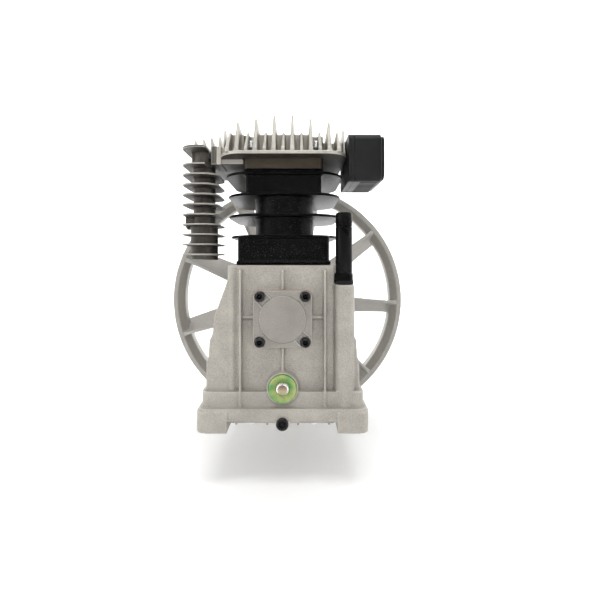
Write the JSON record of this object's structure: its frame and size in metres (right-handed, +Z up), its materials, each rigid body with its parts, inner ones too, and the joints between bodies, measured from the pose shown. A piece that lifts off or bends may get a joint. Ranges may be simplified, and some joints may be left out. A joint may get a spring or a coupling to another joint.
{
  "type": "air compressor pump",
  "caption": "Belt-driven reciprocating air compressor pump with finned head and cooler, intake filter, footed crankcase and a spoked fan flywheel.",
  "frame": {"origin": "centre of the four foot holes, on the foot plane", "axes": "+Z up along the cylinders, +Y along the crank towards the flywheel, +X to the intake filter"},
  "size_m": [0.36, 0.2645, 0.4056],
  "materials": {
    "cast_aluminium": "sand cast, matt, shot blasted",
    "cover_casting": "die cast, matt",
    "head_aluminium": "cast, bright, fin edges polished",
    "cooler_aluminium": "cast, dull grey",
    "wheel_casting": "cast, silver paint",
    "black_iron": "black semi-gloss paint over cast iron",
    "black_steel": "black oxide",
    "zinc_steel": "zinc plated",
    "bearing_steel": "ground",
    "forged_steel": "forged and ground",
    "spring_steel": "blued spring strip",
    "plate_steel": "ground, edges stained by heat and oil",
    "gasket_fibre": "compressed fibre",
    "red_gasket": "red sealing compound edge",
    "seal_rubber": "nitrile rubber",
    "green_ring": "translucent moulded plastic",
    "clear_lens": "clear moulded dome",
    "black_plastic": "moulded, satin",
    "filter_plastic": "moulded, satin",
    "filter_foam": "open-cell foam",
    "piston_aluminium": "turned",
    "ring_iron": "ground",
    "rod_aluminium": "die cast"
  },
  "bodies": {
    "root": {"crankcase": "cast_aluminium", "front_cover_gasket": "red_gasket", "front_bearing_cover": "cover_casting", "front_cover_screws": "black_steel", "front_bearing_outer_race": "bearing_steel", "rear_bearing_outer_race": "bearing_steel", "shaft_oil_seal": "seal_rubber", "sight_glass_ring": "green_ring", "sight_glass_lens": "clear_lens", "drain_plug": "black_steel", "bottom_cover_gasket": "gasket_fibre", "bottom_cover": "cast_aluminium", "bottom_cover_bolts": "zinc_steel", "breather_collar": "black_plastic", "breather_tube": "black_plastic", "block_base_gasket": "gasket_fibre", "cylinder_block": "black_iron", "block_base_bolts": "zinc_steel", "block_top_gasket": "gasket_fibre", "intake_valve_plate": "plate_steel", "intake_reeds": "spring_steel", "plate_gasket": "gasket_fibre", "discharge_valve_plate": "plate_steel", "discharge_reeds": "spring_steel", "reed_stops": "spring_steel", "head_gasket": "gasket_fibre", "cylinder_head": "head_aluminium", "head_bolts": "zinc_steel", "cooler_gasket": "gasket_fibre", "discharge_cooler": "cooler_aluminium", "cooler_bolts": "black_steel", "filter_nipple": "zinc_steel", "filter_base": "filter_plastic", "filter_element": "filter_foam", "filter_cover": "filter_plastic", "filter_screw": "zinc_steel"},
    "crank": {"crankshaft": "forged_steel", "flywheel_key": "forged_steel", "flywheel": "wheel_casting", "flywheel_washer": "zinc_steel", "flywheel_bolt": "zinc_steel", "front_bearing_inner_race": "bearing_steel", "rear_bearing_inner_race": "bearing_steel"},
    "front_cage": {"front_bearing_balls": "bearing_steel"},
    "rear_cage": {"rear_bearing_balls": "bearing_steel"},
    "front_piston_set": {"front_piston": "piston_aluminium", "front_piston_rings": "ring_iron", "front_wrist_pin": "bearing_steel"},
    "front_rod_set": {"front_connecting_rod": "rod_aluminium", "front_rod_cap_bolts": "black_steel", "front_crank_pin": "forged_steel"},
    "rear_piston_set": {"rear_piston": "piston_aluminium", "rear_piston_rings": "ring_iron", "rear_wrist_pin": "bearing_steel"},
    "rear_rod_set": {"rear_connecting_rod": "rod_aluminium", "rear_rod_cap_bolts": "black_steel", "rear_crank_pin": "forged_steel"}
  },
  "joints": [
    {"name": "crank_turn", "type": "hinge", "parent": "root", "child": "crank", "pos_m": [0, 0, 0.118], "axis": [0, 1, 0], "continuous": true},
    {"name": "front_cage_turn", "type": "hinge", "parent": "root", "child": "front_cage", "pos_m": [0, 0, 0.118], "axis": [0, 1, 0], "continuous": true},
    {"name": "rear_cage_turn", "type": "hinge", "parent": "root", "child": "rear_cage", "pos_m": [0, 0, 0.118], "axis": [0, 1, 0], "continuous": true},
    {"name": "front_piston_slide", "type": "slide", "parent": "root", "child": "front_piston_set", "axis": [0, 0, 1], "range_m": [-0.046, 0]},
    {"name": "rear_piston_slide", "type": "slide", "parent": "root", "child": "rear_piston_set", "axis": [0, 0, 1], "range_m": [0, 0.046]},
    {"name": "front_rod_swing", "type": "hinge", "parent": "front_piston_set", "child": "front_rod_set", "pos_m": [0, -0.035, 0.2585], "axis": [0, 1, 0], "range_deg": [-11.29, 11.29]},
    {"name": "rear_rod_swing", "type": "hinge", "parent": "rear_piston_set", "child": "rear_rod_set", "pos_m": [0, 0.035, 0.2125], "axis": [0, 1, 0], "range_deg": [-11.29, 11.29]}
  ],
  "couplings": [
    {"joint": "front_cage_turn", "follows": "crank_turn", "ratio": 0.3969},
    {"joint": "rear_cage_turn", "follows": "crank_turn", "ratio": 0.3965}
  ]
}
